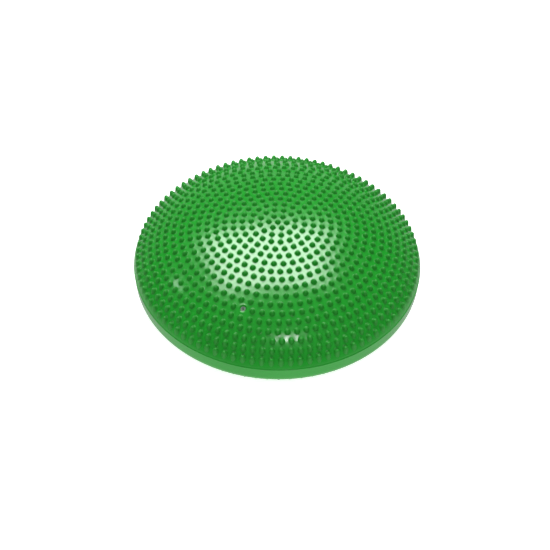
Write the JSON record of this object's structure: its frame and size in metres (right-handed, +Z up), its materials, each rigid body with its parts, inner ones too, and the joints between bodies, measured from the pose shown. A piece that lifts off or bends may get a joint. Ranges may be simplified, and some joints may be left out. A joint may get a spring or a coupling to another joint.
{
  "type": "balance pad",
  "caption": "Round air-filled balance pad: domed top covered in short pegs, bumpy underside and a needle valve. The top sinks and rocks under a foot.",
  "frame": {"origin": "middle of the flat patch that the pad rests on, at floor level", "axes": "+Z up through the middle of the domed top; -Y towards the side that has the valve"},
  "size_m": [0.3342, 0.3342, 0.0996],
  "materials": {
    "pvc_skin": "glossy soft PVC, slightly translucent",
    "valve_rubber": "matt soft rubber"
  },
  "bodies": {
    "foot": {"foot_skin": "pvc_skin", "sole_skin": "pvc_skin", "sole_bumps": "pvc_skin"},
    "heel": {"heel_skin": "pvc_skin", "heel_bumps": "pvc_skin"},
    "rim": {"lower_rim_skin": "pvc_skin", "shoulder_skin": "pvc_skin", "shoulder_pegs": "pvc_skin", "rolling_skin": "pvc_skin", "rolling_pegs": "pvc_skin", "valve_seat": "pvc_skin", "valve_plug": "valve_rubber"},
    "crown": {"crown_skin": "pvc_skin", "crown_pegs": "pvc_skin"}
  },
  "joints": [
    {"name": "tilt_front_back", "type": "hinge", "parent": "foot", "child": "heel", "pos_m": [0, 0, 0.018], "axis": [1, 0, 0], "range_deg": [-5, 5], "stiffness_Nm_per_rad": 150, "deforming": ["heel_skin", "heel_bumps"]},
    {"name": "tilt_side_to_side", "type": "hinge", "parent": "heel", "child": "rim", "pos_m": [0, 0, 0.018], "axis": [0, 1, 0], "range_deg": [-5, 5], "stiffness_Nm_per_rad": 150, "deforming": ["heel_skin", "heel_bumps"]},
    {"name": "press_down", "type": "slide", "parent": "rim", "child": "crown", "axis": [0, 0, -1], "range_m": [0, 0.025], "stiffness_N_per_m": 15000, "deforming": ["rolling_skin", "rolling_pegs"]}
  ]
}
